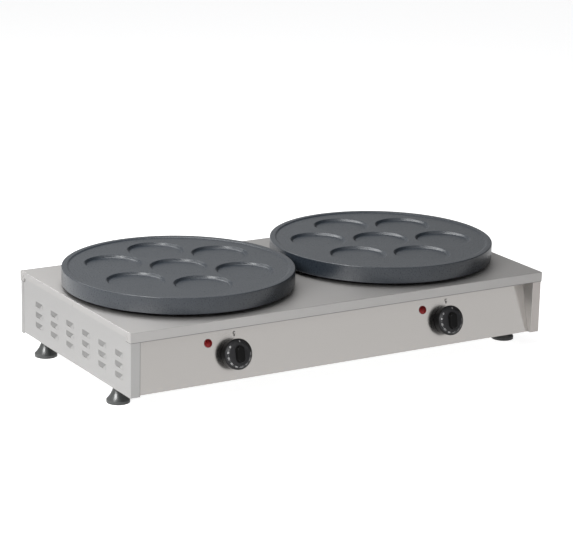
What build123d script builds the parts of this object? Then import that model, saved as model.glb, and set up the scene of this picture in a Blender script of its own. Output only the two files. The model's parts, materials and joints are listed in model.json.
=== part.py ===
from build123d import *
import os
from math import cos, radians, sin, tan

os.makedirs("parts", exist_ok=True)

# Electric crepe maker with two round cast plates on one low sheet-metal casing.
# Millimetres. X runs along the front, +Y to the rear, +Z up, Z = 0 on the ground.

# Casing, sized round the two plates
plate_diameter = 400.0
plates_apart = 13.5
side_margin = 3.25
front_margin = 15.2
rear_margin = 4.8
body_width = 2 * plate_diameter + plates_apart + 2 * side_margin
body_depth = plate_diameter + front_margin + rear_margin
body_height = 110.0
foot_height = 32.0
sheet = 1.2
seam = 0.1

# Top cover
lip_height = 17.3
side_flange_height = 10.5
corner_ear = 16.0
mitre_slot = 0.6
mitre_length = 10.5
mitre_inset = 12.6
mitre_drop = 8.8
notch_height = 3.8
notch_width = 1.0
cover_bend = 1.0

# Side panels
strip_width = 17.5
return_tail = 14.0
top_flange = 12.0
bottom_flange = 42.0
rear_wrap = 11.2
rear_gap = 0.8
rear_tongue = 18.0
tongue_overlap = 8.0
flange_gap = 2.0
side_bend = 0.8

# Louvres pressed out of each side panel
louvre_columns = 6
louvre_rows = 3
louvre_first = 42.0
louvre_last = 75.0
louvre_pitch_z = 18.4
louvre_top_drop = 40.6
louvre_width = 28.0
louvre_lip_width = 16.0
louvre_rise = 3.0
louvre_slope = 6.6
louvre_height = 9.6
louvre_slit = 1.8
louvre_lip = 0.4

# Control panel, leaning back from its foot
panel_slant = 14.5
panel_foot_inset = 8.5
panel_flange = 15.0
panel_tab = 11.0
spindle_hole = 11.0
lamp_hole = 12.0

# Rear panel
rear_drop = 3.0
rear_flange = 12.0

# Griddle plates
plate_gap = 6.5
plate_thickness = 28.5
rim_width = 10.0
rim_rise = 1.8
rim_slope = 1.0
rim_bevel = 1.2
plate_web = 15.0
skirt_wall = 11.0
well_share = 0.249
well_ring_share = 0.2845
well_depth = 4.2
well_wall = 4.2
wells_round = 6
left_well_turn = -37.4
right_well_turn = -23.5

# What holds a plate up
stud_diameter = 8.0
stud_inset = 36.0
stud_reach_y = 60.0
stud_engagement = 9.0
stud_end = 5.0
boss_diameter = 22.0
spacer_diameter = 14.0
hole_clearance = 0.5
nut_flats = 13.0
nut_height = 6.5
rail_width = 24.0
rail_height = 14.0
rail_sheet = 1.5
rail_end_gap = 1.0

# Heating elements under a plate
tube_diameter = 8.5
loop_inset = 12.0
loop_pitch = 40.0
loop_start = -82.0
loop_sweep = 322.0
element_elbow = 14.0
element_tail = 46.0
clamp_fit = 2.0
clamp_width = 78.0
clamp_thickness = 2.0
clamp_slot = 34.0
clamp_screw_diameter = 6.0
clamp_screw_reach = 6.0
clamp_head_flats = 10.0
clamp_head_height = 4.0
clamp_screws_count = 5
clamp_screw_shift = 0.6

# Heat shield and insulation
shield_inset = 60.0
shield_depth = 36.0
shield_sheet = 1.0
shield_flange = 9.0
shield_hole = 16.0
insulation_proud = 3.0
insulation_fit = 0.5
cutout_diameter = 17.0
cutout_height = 9.0
cutout_flange = 26.0
cutout_flange_sheet = 1.0
blade_width = 6.3
blade_sheet = 0.8
blade_length = 8.0

# Controls
knob_outset = 12.5
knob_shift = 5.0
knob_height = 41.6
dial_diameter = 52.0
dial_rim = 2.5
dial_rise = 5.0
face_diameter = 36.0
skirt_diameter = 48.5
knob_wall = 2.2
knob_depth = 16.5
knob_gap = 0.6
grip_draft = 3.0
hub_diameter = 13.0
grip_length = 30.0
grip_width = 15.0
grip_tip_width = 10.5
grip_height = 7.5
spindle_diameter = 6.0
spindle_flat = 1.5
spindle_fit = 0.05
thermostat_width = 44.0
thermostat_height = 36.0
thermostat_depth = 24.0
thermostat_plate = 1.5
thermostat_bush = 10.0
thermostat_corner = 3.0
thermostat_screw_pitch = 28.0
spindle_seat = 12.0
spindle_end_gap = 0.5
lamp_offset = 45.5
lamp_rise = 24.0
lens_diameter = 14.4
lens_rim = 1.0
dome_diameter = 12.4
dome_height = 2.8
sleeve_fit = 0.05
holder_depth = 26.0

# Thermostat bulb and its capillary
bulb_diameter = 6.0
bulb_length = 80.0
capillary_diameter = 2.4
capillary_bend = 10.8
capillary_run = 12.0
capillary_straight = 26.4
capillary_floor = 30.0

# Mains entry and terminals
gland_side = 90.0
gland_rise = 38.0
gland_bore = 6.5
gland_thread = 25.0
gland_flats = 31.0
gland_body = 6.5
gland_cap = 13.0
gland_cap_hex = 7.8
gland_inside = 10.0
gland_locknut = 5.0
terminal_width = 62.0
terminal_depth = 24.0
terminal_height = 20.0
terminal_step = 11.0
terminal_tower = 9.6
terminal_ways = 5
terminal_setback = 60.0
earth_offset = 58.0
earth_diameter = 6.0
earth_length = 26.0
earth_nut_flats = 10.0
earth_nut_height = 5.0

# Leads: sleeved wires on the base plate, the right-hand ones above the left-hand ones
lead_diameter = 2.6
lead_bend = 5.0
lead_gap = 0.4
lead_lift = 5.2
lead_side = 12.0
lead_drop = 12.0
harness_live = 14.0
harness_neutral = 17.5
harness_shift = 3.5

# Feet
foot_diameter = 39.6
foot_neck = 16.0
foot_rim = 5.0
foot_gap = 0.3
foot_flare = 0.62
foot_flare_height = 0.46
foot_neck_height = 0.86
foot_inset = 20.0
foot_front = 81.6
foot_rear = 61.2
foot_stem = 8.0
foot_stem_fit = 0.08
foot_travel = 10.0
foot_thread = 6.0
insert_flats = 13.0
insert_height = 12.0

# Base plate and centre brace
base_edge = 29.0
base_front_gap = 1.0
base_rear_gap = 3.0
vent_length = 46.0
vent_width = 5.0
vent_pitch = 14.0
vent_rows = 7
brace_flange = 15.0
brace_end_gap = 24.0

# Screws
screw_diameter = 4.0
screw_head = 7.6
screw_head_height = 2.4
screw_grip = 6.0
head_taper = 15.0
cap_taper = 25.0
cut_margin = 1.0
base_screw_shares = (0.12, 0.4, 0.66, 0.94)
rear_screw_shares = (0.16, 0.45, 0.72)

# Levels
z_bottom = foot_height
z_top = z_bottom + body_height
z_deck = z_top - sheet
plate_z = z_top + plate_gap
web_z = plate_z + plate_thickness - plate_web
land_z = plate_z + plate_thickness - rim_rise

# Distances from the middle of the casing
x_side = body_width / 2
panel_x = x_side - sheet
strip_in = panel_x - strip_width
plate_x = (plate_diameter + plates_apart) / 2
gland_x = x_side - gland_side
earth_x = gland_x - earth_offset

# The control panel's plane, and how far the knobs and the gland stand out of the casing
slant = radians(panel_slant)
grip_drop = grip_length / 2 * sin(slant)
knob_face_inset = panel_foot_inset + knob_height * tan(slant)
knob_reach = (knob_depth + dial_rise + grip_height) * cos(slant) + grip_drop - knob_face_inset
gland_reach = gland_body + gland_cap - sheet
y_front = -(body_depth + gland_reach - knob_reach) / 2
y_rear = y_front + body_depth
plate_y = y_front + front_margin + plate_diameter / 2
side_rear = y_rear - sheet - rear_wrap
rear_inner = y_rear - 2 * sheet


def panel_y(z):
    """Y of the control panel's outer face at height z."""
    return y_front + panel_foot_inset + (z - z_bottom) * tan(slant)


def on_panel(x, z, out=0.0):
    """The plane of the control panel at x and height z, moved out along its normal."""
    normal = Vector(0, -cos(slant), sin(slant))
    foot = Vector(x, panel_y(z), z)
    return Plane(foot + normal * out, x_dir=(1, 0, 0), z_dir=normal)


def block(low, high, mode=Mode.ADD):
    """A box between two corners, inside the builder that is open."""
    size = [b - a for a, b in zip(low, high)]
    with Locations(tuple((a + b) / 2 for a, b in zip(low, high))):
        Box(*size, mode=mode)


def save(solid, name):
    """Label a piece and write its file."""
    solid.label = name
    export_step(solid, f"parts/{name}.step")


def hex_screw_set(places, diameter, length, flats, head):
    """Hexagon screws that point up from places, their heads below."""
    with BuildPart() as screws:
        with BuildSketch(Plane.XY.offset(places[0][2])):
            with Locations([(x, y) for x, y, z in places]):
                Circle(diameter / 2)
        extrude(amount=length)
        with BuildSketch(Plane.XY.offset(places[0][2])):
            with Locations([(x, y) for x, y, z in places]):
                RegularPolygon(flats / 2, 6, major_radius=False)
        extrude(amount=-head)
    return screws.part


# Sizes that follow from a plate's
well_radius = well_share * plate_diameter / 2
well_ring = well_ring_share * plate_diameter
shield_radius = plate_diameter / 2 - shield_inset
outer_loop = shield_radius - loop_inset
inner_loop = outer_loop - loop_pitch
clamp_outer = shield_radius - clamp_fit
clamp_inner = clamp_outer - clamp_width
stud_reach_x = plate_diameter / 2 - stud_inset
louvre_pitch_y = (body_depth - louvre_first - louvre_last) / (louvre_columns - 1)

# Where things stand, worked out once
plate_centres = {"left": (-plate_x, plate_y), "right": (plate_x, plate_y)}
knob_reach_x = plate_x + knob_outset / 2
knob_centres = {"left": knob_shift - knob_reach_x, "right": knob_shift + knob_reach_x}
well_turns = {"left": left_well_turn, "right": right_well_turn}
knob_z = z_bottom + knob_height
lamp_z = knob_z + lamp_rise * cos(slant)
foot_places = {
    "front_left": (-(x_side - foot_inset), y_front + foot_front),
    "front_right": (x_side - foot_inset, y_front + foot_front),
    "rear_left": (-(x_side - foot_inset), y_rear - foot_rear),
    "rear_right": (x_side - foot_inset, y_rear - foot_rear),
}
stud_offsets = [(sx * stud_reach_x, sy * stud_reach_y) for sx in (-1, 1) for sy in (-1, 1)]
stud_places = [
    (cx + dx, cy + dy) for cx, cy in plate_centres.values() for dx, dy in stud_offsets
]
base_screw_x = (x_side - foot_inset - foot_stem) - (foot_inset - foot_stem) / 2
base_screw_ys = [y_front + body_depth * share for share in base_screw_shares]
base_screw_places = [(side * base_screw_x, y) for side in (-1, 1) for y in base_screw_ys]
rear_screw_x = panel_x - 2 * sheet - rear_tongue / 2
rear_screw_zs = [z_bottom + body_height * share for share in rear_screw_shares]

# Top cover: a folded tray with deeper lips at the front and rear that wrap round the corners
cover_foot = z_top - lip_height
notch_y = (y_front + y_rear) / 2
with BuildPart() as top_cover:
    block((-x_side, y_front, cover_foot), (x_side, y_rear, z_top))
    top_edges = top_cover.faces().sort_by(Axis.Z)[-1].edges()
    fillet(top_edges + top_cover.edges().filter_by(Axis.Z), cover_bend)
    block(
        (-panel_x, y_front + sheet, cover_foot),
        (panel_x, y_rear - sheet, z_deck),
        mode=Mode.SUBTRACT,
    )
    block(
        (-x_side - cut_margin, y_front + corner_ear, cover_foot),
        (x_side + cut_margin, y_rear - corner_ear, z_top - side_flange_height),
        mode=Mode.SUBTRACT,
    )
    # The mitre seams, at 45 degrees between the side flange and the lip's end
    for side in (-1, 1):
        for y_seam, turn in ((y_front + mitre_inset, 45), (y_rear - mitre_inset, -45)):
            seam_at = Location((side * (panel_x + sheet / 2), y_seam, z_top - mitre_drop), (turn, 0, 0))
            with Locations(seam_at):
                Box(2 * sheet, mitre_length, mitre_slot, mode=Mode.SUBTRACT)
    # A relief notch half-way along each side flange
    flange_foot = z_top - side_flange_height
    block(
        (-x_side - cut_margin, notch_y - notch_width / 2, flange_foot),
        (x_side + cut_margin, notch_y + notch_width / 2, flange_foot + notch_height),
        mode=Mode.SUBTRACT,
    )
    # The mouths over the heat shields, and the holes for the plates' studs
    with BuildSketch(Plane.XY.offset(z_top)):
        with Locations(*plate_centres.values()):
            Circle(shield_radius)
        with Locations(*stud_places):
            Circle(stud_diameter / 2 + hole_clearance)
    extrude(amount=-2 * sheet, mode=Mode.SUBTRACT)
save(top_cover.part, "top_cover")


# One louvre, pressed out along +X from the wall: a side wedge cut by a plan trapezoid
with BuildPart() as louvre_form:
    with BuildSketch(Plane.XZ):
        with BuildLine():
            Polyline((0, 0), (louvre_rise, -louvre_slope), (0, -louvre_height), close=True)
        make_face()
    extrude(amount=louvre_width / 2, both=True)
    with BuildSketch(Plane.XY):
        with BuildLine():
            Polyline(
                (0, -louvre_width / 2),
                (louvre_rise, -louvre_lip_width / 2),
                (louvre_rise, louvre_lip_width / 2),
                (0, louvre_width / 2),
                close=True,
            )
        make_face()
    extrude(amount=-louvre_height, mode=Mode.INTERSECT)
louvre_places = [
    (panel_x, y_front + louvre_first + i * louvre_pitch_y, z_top - louvre_top_drop - j * louvre_pitch_z)
    for i in range(louvre_columns)
    for j in range(louvre_rows)
]

# Right side panel: wall, front strip with its return, flanges, rear tongue and louvres
with BuildPart() as right_side_panel:
    strip_front = y_front + sheet
    block((panel_x - sheet, strip_front, z_bottom), (panel_x, side_rear, z_deck))
    block((strip_in, strip_front, z_bottom), (panel_x, strip_front + sheet, z_deck))
    with BuildSketch(Plane.YZ.offset(strip_in)):
        with BuildLine():
            Polyline(
                (strip_front, z_bottom),
                (panel_y(z_bottom) + return_tail, z_bottom),
                (panel_y(z_deck) + return_tail, z_deck),
                (strip_front, z_deck),
                close=True,
            )
        make_face()
    extrude(amount=sheet)
    fillet(
        right_side_panel.edges().filter_by(Axis.Z).sort_by(Axis.X)[-2:].sort_by(Axis.Y)[0],
        side_bend,
    )
    block(
        (panel_x - bottom_flange, y_front + panel_foot_inset + return_tail + flange_gap, z_bottom),
        (panel_x - sheet, side_rear, z_bottom + sheet),
    )
    block(
        (panel_x - top_flange, panel_y(z_deck) + return_tail + flange_gap, z_deck - sheet),
        (panel_x - sheet, side_rear - rear_tongue, z_deck),
    )
    tongue_x = panel_x - 2 * sheet
    block(
        (tongue_x, side_rear - tongue_overlap, z_bottom + sheet),
        (tongue_x + sheet, rear_inner, z_deck - sheet),
    )
    block(
        (tongue_x - rear_tongue, rear_inner - sheet, z_bottom + sheet),
        (tongue_x + sheet, rear_inner, z_deck - rear_flange),
    )
    with Locations(*louvre_places):
        add(louvre_form.part)
    with Locations(*[(x - sheet, y, z) for x, y, z in louvre_places]):
        add(louvre_form.part, mode=Mode.SUBTRACT)
    with Locations(*[(x + louvre_rise / 2, y, z - louvre_slope - louvre_lip) for x, y, z in louvre_places]):
        Box(
            louvre_rise,
            louvre_lip_width,
            louvre_slit,
            align=(Align.CENTER, Align.CENTER, Align.MAX),
            mode=Mode.SUBTRACT,
        )
    # Holes for the feet and the base screws, and those of the rear flange
    with BuildSketch(Plane.XY.offset(z_bottom + sheet)):
        with Locations(foot_places["front_right"], foot_places["rear_right"]):
            Circle(foot_stem / 2 + hole_clearance)
        with Locations(*[p for p in base_screw_places if p[0] > 0]):
            Circle(screw_diameter / 2)
    extrude(amount=-2 * sheet, mode=Mode.SUBTRACT)
    with BuildSketch(Plane.XZ.offset(-rear_inner)):
        with Locations(*[(rear_screw_x, z) for z in rear_screw_zs]):
            Circle(screw_diameter / 2)
    extrude(amount=2 * sheet, mode=Mode.SUBTRACT)
save(right_side_panel.part, "right_side_panel")

with BuildPart() as left_side_panel:
    add(mirror(right_side_panel.part, about=Plane.YZ, mode=Mode.PRIVATE))
save(left_side_panel.part, "left_side_panel")

# Front panel: the slanted control panel with its flanges and end tabs
panel_half = strip_in - seam
with BuildPart() as front_panel:
    with BuildSketch(Plane.YZ.offset(-panel_half)):
        with BuildLine():
            Polyline(
                (panel_y(z_bottom), z_bottom),
                (panel_y(z_bottom) + panel_flange, z_bottom),
                (panel_y(z_bottom) + panel_flange, z_bottom + sheet),
                (panel_y(z_bottom + sheet) + sheet / cos(slant), z_bottom + sheet),
                (panel_y(z_deck - sheet) + sheet / cos(slant), z_deck - sheet),
                (panel_y(z_deck) + panel_flange, z_deck - sheet),
                (panel_y(z_deck) + panel_flange, z_deck),
                (panel_y(z_deck), z_deck),
                close=True,
            )
        make_face()
    extrude(amount=2 * panel_half)
    for end in (-panel_half, panel_half - sheet):
        with BuildSketch(Plane.YZ.offset(end)):
            with BuildLine():
                Polyline(
                    (panel_y(z_bottom), z_bottom),
                    (panel_y(z_bottom) + panel_tab, z_bottom),
                    (panel_y(z_deck) + panel_tab, z_deck),
                    (panel_y(z_deck), z_deck),
                    close=True,
                )
            make_face()
        extrude(amount=sheet)
    for x in knob_centres.values():
        with BuildSketch(on_panel(x, knob_z, out=cut_margin)):
            Circle(spindle_hole / 2)
            with GridLocations(thermostat_screw_pitch, 1, 2, 1):
                Circle(screw_diameter / 2)
        extrude(amount=-2 * cut_margin - 2 * sheet, mode=Mode.SUBTRACT)
        with BuildSketch(on_panel(x - lamp_offset, lamp_z, out=cut_margin)):
            Circle(lamp_hole / 2)
        extrude(amount=-2 * cut_margin - 2 * sheet, mode=Mode.SUBTRACT)
save(front_panel.part, "front_panel")

# Rear panel: wraps round onto the sides and hangs a little lower than they do
rear_foot = z_bottom - rear_drop
gland_z = z_bottom + gland_rise
with BuildPart() as rear_panel:
    block((-panel_x, rear_inner, rear_foot), (panel_x, rear_inner + sheet, z_deck))
    for side in (-1, 1):
        wrap_x = sorted((side * panel_x, side * (panel_x - sheet)))
        block(
            (wrap_x[0], side_rear + rear_gap, rear_foot),
            (wrap_x[1], rear_inner + sheet, z_deck),
        )
    fillet(
        rear_panel.edges().filter_by(Axis.Z).group_by(Axis.Y)[-1],
        side_bend,
    )
    block(
        (-panel_x + rear_tongue, rear_inner - rear_flange, z_deck - sheet),
        (panel_x - rear_tongue, rear_inner, z_deck),
    )
    with BuildSketch(Plane.XZ.offset(-rear_inner - sheet)):
        with Locations((gland_x, gland_z)):
            Circle(gland_thread / 2)
        with Locations((earth_x, gland_z)):
            Circle(earth_diameter / 2)
        with Locations(*[(side * rear_screw_x, z) for side in (-1, 1) for z in rear_screw_zs]):
            Circle(screw_diameter / 2)
    extrude(amount=2 * sheet, mode=Mode.SUBTRACT)
save(rear_panel.part, "rear_panel")

# Base plate: lies on the bottom flanges, with rows of vent slots under each plate
base_half = x_side - base_edge - foot_inset / 2
base_z = z_bottom + sheet
base_front = panel_y(base_z + sheet) + sheet / cos(slant) + base_front_gap
with BuildPart() as base_plate:
    block((-base_half, base_front, base_z), (base_half, rear_inner - base_rear_gap, base_z + sheet))
    with BuildSketch(Plane.XY.offset(base_z)):
        for cx, cy in plate_centres.values():
            with Locations((cx, cy)):
                with GridLocations(vent_length + vent_pitch, vent_pitch, 3, vent_rows):
                    SlotOverall(vent_length, vent_width)
        with Locations(*base_screw_places):
            Circle(screw_diameter / 2)
    extrude(amount=sheet, mode=Mode.SUBTRACT)
save(base_plate.part, "base_plate")

# Centre brace: a channel on edge between the base plate and the cover
with BuildPart() as centre_brace:
    brace_front = panel_y(z_deck) + panel_flange + brace_end_gap
    brace_rear = rear_inner - rear_flange - brace_end_gap
    brace_foot = base_z + sheet
    block((0, brace_front, brace_foot), (sheet, brace_rear, z_deck))
    block((0, brace_front, brace_foot), (brace_flange, brace_rear, brace_foot + sheet))
    block((0, brace_front, z_deck - sheet), (brace_flange, brace_rear, z_deck))
    with BuildSketch(Plane.YZ):
        with Locations((plate_y, (brace_foot + z_deck) / 2)):
            with GridLocations(vent_length * 2, 1, 3, 1):
                SlotOverall(vent_length, body_height / 4)
    extrude(amount=sheet, mode=Mode.SUBTRACT)
save(centre_brace.part, "centre_brace")

# Cover rails: four channels under the cover that carry the plates' studs
rail_names = ("left_outer_rail", "left_inner_rail", "right_inner_rail", "right_outer_rail")
rail_xs = (-plate_x - stud_reach_x, -plate_x + stud_reach_x, plate_x - stud_reach_x, plate_x + stud_reach_x)
for name, x in zip(rail_names, rail_xs):
    with BuildPart() as rail:
        rail_front = panel_y(z_deck) + panel_flange + rail_end_gap
        rail_rear = rear_inner - rear_flange - rail_end_gap
        block(
            (x - rail_width / 2, rail_front, z_deck - rail_height),
            (x + rail_width / 2, rail_rear, z_deck),
        )
        block(
            (x - rail_width / 2 + rail_sheet, rail_front, z_deck - rail_height),
            (x + rail_width / 2 - rail_sheet, rail_rear, z_deck - rail_sheet),
            mode=Mode.SUBTRACT,
        )
        with BuildSketch(Plane.XY.offset(z_deck)):
            with Locations((x, plate_y - stud_reach_y), (x, plate_y + stud_reach_y)):
                Circle(stud_diameter / 2 + hole_clearance)
        extrude(amount=-2 * rail_sheet, mode=Mode.SUBTRACT)
    save(rail.part, name)


rim_inner = plate_diameter / 2 - rim_width


def well_places(cx, cy, turn):
    """The floors' centres: one in the middle and the rest on a ring."""
    turns = [radians(turn + 360 / wells_round * i) for i in range(wells_round)]
    ring = [(cx + well_ring * cos(a), cy + well_ring * sin(a), land_z - well_depth) for a in turns]
    return [(cx, cy, land_z - well_depth)] + ring


def griddle_plate(cx, cy, turn):
    """The casting: raised rim, seven wells above, skirt, web and bosses below."""
    with BuildPart() as plate:
        with BuildSketch(Plane.XY.offset(plate_z)):
            with Locations((cx, cy)):
                Circle(plate_diameter / 2)
        extrude(amount=plate_thickness)
        chamfer(plate.edges().sort_by(Axis.Z)[-1], rim_bevel)
        with Locations((cx, cy, plate_z + plate_thickness - rim_rise)):
            Cone(
                rim_inner - rim_slope,
                rim_inner,
                rim_rise,
                align=(Align.CENTER, Align.CENTER, Align.MIN),
                mode=Mode.SUBTRACT,
            )
        with BuildSketch(Plane.XY.offset(plate_z)):
            with Locations((cx, cy)):
                Circle(plate_diameter / 2 - skirt_wall)
            with Locations(*[(cx + dx, cy + dy) for dx, dy in stud_offsets]):
                Circle(boss_diameter / 2, mode=Mode.SUBTRACT)
        extrude(amount=web_z - plate_z, mode=Mode.SUBTRACT)
        with Locations(*well_places(cx, cy, turn)):
            Cone(
                well_radius - well_wall,
                well_radius,
                well_depth,
                align=(Align.CENTER, Align.CENTER, Align.MIN),
                mode=Mode.SUBTRACT,
            )
        with BuildSketch(Plane.XY.offset(plate_z)):
            with Locations(*[(cx + dx, cy + dy) for dx, dy in stud_offsets]):
                Circle(stud_diameter / 2)
        extrude(amount=stud_engagement, mode=Mode.SUBTRACT)
        with BuildSketch(Plane.XY.offset(web_z)):
            with Locations(*clamp_screw_places(cx, cy)):
                Circle(clamp_screw_diameter / 2)
        extrude(amount=clamp_screw_reach, mode=Mode.SUBTRACT)
    return plate.part


def clamp_screw_places(cx, cy):
    """Between the two loops, spread over the sweep of the element."""
    ring = (outer_loop + inner_loop) / 2
    step = loop_sweep / (clamp_screws_count + 1)
    turns = [radians(loop_start + step * (i + clamp_screw_shift)) for i in range(clamp_screws_count)]
    return [(cx + ring * cos(a), cy + ring * sin(a)) for a in turns]


element_z = web_z - tube_diameter / 2
clamp_z = web_z - tube_diameter - clamp_thickness


def polar(cx, cy, radius, angle, z, along=0.0):
    """A point on a loop, moved along the loop's direction there."""
    a = radians(angle)
    return Vector(cx + radius * cos(a) - along * sin(a), cy + radius * sin(a) + along * cos(a), z)


def tail_places(cx, cy):
    """Where the element's two ends go down."""
    return [polar(cx, cy, r, loop_start, 0, -element_elbow) for r in (outer_loop, inner_loop)]


def heating_element(cx, cy):
    """One tube: up, round the outer loop, back along the inner loop, and down."""
    end = loop_start + loop_sweep
    lean = element_elbow * sin(radians(45))
    half_gap = (outer_loop - inner_loop) / 2
    middle = (outer_loop + inner_loop) / 2
    low_z = element_z - element_elbow

    def arc_through(radius):
        return polar(cx, cy, radius, loop_start + loop_sweep / 2, element_z)

    def elbow_mid(radius):
        return polar(cx, cy, radius, loop_start, low_z + lean, -lean)

    tails = tail_places(cx, cy)
    with BuildPart() as element:
        with BuildLine() as path:
            Line((tails[0].X, tails[0].Y, low_z - element_tail), (tails[0].X, tails[0].Y, low_z))
            ThreePointArc(
                (tails[0].X, tails[0].Y, low_z),
                elbow_mid(outer_loop),
                polar(cx, cy, outer_loop, loop_start, element_z),
            )
            ThreePointArc(
                polar(cx, cy, outer_loop, loop_start, element_z),
                arc_through(outer_loop),
                polar(cx, cy, outer_loop, end, element_z),
            )
            ThreePointArc(
                polar(cx, cy, outer_loop, end, element_z),
                polar(cx, cy, middle, end, element_z, half_gap),
                polar(cx, cy, inner_loop, end, element_z),
            )
            ThreePointArc(
                polar(cx, cy, inner_loop, end, element_z),
                arc_through(inner_loop),
                polar(cx, cy, inner_loop, loop_start, element_z),
            )
            ThreePointArc(
                polar(cx, cy, inner_loop, loop_start, element_z),
                elbow_mid(inner_loop),
                (tails[1].X, tails[1].Y, low_z),
            )
            Line((tails[1].X, tails[1].Y, low_z), (tails[1].X, tails[1].Y, low_z - element_tail))
        with BuildSketch(Plane((tails[0].X, tails[0].Y, low_z - element_tail))):
            Circle(tube_diameter / 2)
        sweep(path=path.wires()[0])
    return element.part


def element_clamp(cx, cy):
    """A steel ring under both loops, open where the tube's ends go down."""
    with BuildPart() as clamp:
        with BuildSketch(Plane.XY.offset(clamp_z)):
            with Locations((cx, cy)):
                Circle(clamp_outer)
                Circle(clamp_inner, mode=Mode.SUBTRACT)
            mouth = polar(cx, cy, clamp_outer, loop_start, 0, -element_elbow)
            with Locations((mouth.X, mouth.Y)):
                Rectangle(
                    clamp_slot,
                    2 * (clamp_outer - inner_loop + tube_diameter),
                    rotation=loop_start + 90,
                    mode=Mode.SUBTRACT,
                )
            with Locations(*clamp_screw_places(cx, cy)):
                Circle(clamp_screw_diameter / 2, mode=Mode.SUBTRACT)
        extrude(amount=clamp_thickness)
    return clamp.part


def bulb_entry(cx, cy):
    """Where the capillary goes down through the heat shield."""
    return (cx - bulb_length / 2 - capillary_run, cy)


shield_z = z_deck - shield_depth


def heat_shield(cx, cy):
    """A round pan under the cover's mouth, with holes for the tube's ends and the capillary."""
    with BuildPart() as pan:
        with BuildSketch(Plane.XY.offset(shield_z)):
            with Locations((cx, cy)):
                Circle(shield_radius + shield_sheet)
        extrude(amount=shield_depth)
        with BuildSketch(Plane.XY.offset(z_deck - shield_sheet)):
            with Locations((cx, cy)):
                Circle(shield_radius + shield_flange)
        extrude(amount=shield_sheet)
        with BuildSketch(Plane.XY.offset(shield_z + shield_sheet)):
            with Locations((cx, cy)):
                Circle(shield_radius)
        extrude(amount=shield_depth, mode=Mode.SUBTRACT)
        with BuildSketch(Plane.XY.offset(shield_z)):
            with Locations(*[(p.X, p.Y) for p in tail_places(cx, cy)], bulb_entry(cx, cy)):
                Circle(shield_hole / 2)
        extrude(amount=shield_sheet, mode=Mode.SUBTRACT)
    return pan.part


def insulation(cx, cy):
    """The mineral wool disc in the pan."""
    with BuildPart() as wool:
        with BuildSketch(Plane.XY.offset(shield_z + shield_sheet)):
            with Locations((cx, cy)):
                Circle(shield_radius - insulation_fit)
            with Locations(*[(p.X, p.Y) for p in tail_places(cx, cy)], bulb_entry(cx, cy)):
                Circle(shield_hole / 2, mode=Mode.SUBTRACT)
        extrude(amount=z_top + insulation_proud - shield_z - shield_sheet)
    return wool.part


def overheat_cutout(cx, cy):
    """A snap-disc cut-out under the pan, on its flange, with two blade terminals."""
    with BuildPart() as cutout:
        with BuildSketch(Plane.XY.offset(shield_z)):
            with Locations((cx, cy)):
                SlotOverall(cutout_flange, cutout_diameter / 2)
        extrude(amount=-cutout_flange_sheet)
        with BuildSketch(Plane.XY.offset(shield_z)):
            with Locations((cx, cy)):
                Circle(cutout_diameter / 2)
        extrude(amount=-cutout_height)
        for side in (-1, 1):
            x = cx + side * cutout_diameter / 4
            block(
                (x - blade_sheet / 2, cy - blade_width / 2, shield_z - cutout_height - blade_length),
                (x + blade_sheet / 2, cy + blade_width / 2, shield_z - cutout_height),
            )
    return cutout.part


def plate_spacers(cx, cy):
    """Four tubes between the cover and the plate's bosses."""
    with BuildPart() as spacers:
        with BuildSketch(Plane.XY.offset(z_top)):
            with Locations(*[(cx + dx, cy + dy) for dx, dy in stud_offsets]):
                Circle(spacer_diameter / 2)
                Circle(stud_diameter / 2, mode=Mode.SUBTRACT)
        extrude(amount=plate_gap)
    return spacers.part


rail_web_z = z_deck - rail_sheet


def plate_studs(cx, cy):
    """Four studs, screwed into the bosses, that come down through the rails."""
    foot = rail_web_z - nut_height - stud_end
    with BuildPart() as studs:
        with BuildSketch(Plane.XY.offset(foot)):
            with Locations(*[(cx + dx, cy + dy) for dx, dy in stud_offsets]):
                Circle(stud_diameter / 2)
        extrude(amount=plate_z + stud_engagement - foot)
    return studs.part


def plate_nuts(cx, cy):
    """Four nuts under the rails' webs."""
    with BuildPart() as nuts:
        with BuildSketch(Plane.XY.offset(rail_web_z)):
            with Locations(*[(cx + dx, cy + dy) for dx, dy in stud_offsets]):
                RegularPolygon(nut_flats / 2, 6, major_radius=False)
                Circle(stud_diameter / 2, mode=Mode.SUBTRACT)
        extrude(amount=-nut_height)
    return nuts.part


# The control panel's inner face, measured along the panel's normal
panel_back = -sheet


def thermostat(x):
    """Mounting plate, bush and housing behind the control panel."""
    plate_back = panel_back - thermostat_plate
    with BuildPart() as body:
        with BuildSketch(on_panel(x, knob_z, out=panel_back)):
            Rectangle(thermostat_width, thermostat_height / 2)
            with GridLocations(thermostat_screw_pitch, 1, 2, 1):
                Circle(screw_diameter / 2, mode=Mode.SUBTRACT)
        extrude(amount=-thermostat_plate)
        with BuildSketch(on_panel(x, knob_z, out=plate_back)):
            RectangleRounded(thermostat_width, thermostat_height, thermostat_corner)
        extrude(amount=-thermostat_depth)
        with BuildSketch(on_panel(x, knob_z)):
            Circle(thermostat_bush / 2)
        extrude(amount=panel_back)
        with BuildSketch(on_panel(x, knob_z)):
            Circle(spindle_diameter / 2 + spindle_fit)
        extrude(amount=-spindle_seat - spindle_end_gap, mode=Mode.SUBTRACT)
        with BuildSketch(on_panel(x, knob_z, out=plate_back)):
            with GridLocations(thermostat_screw_pitch, 1, 2, 1):
                Circle(screw_diameter / 2)
        extrude(amount=-screw_grip / 2, mode=Mode.SUBTRACT)
    return body.part


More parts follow.
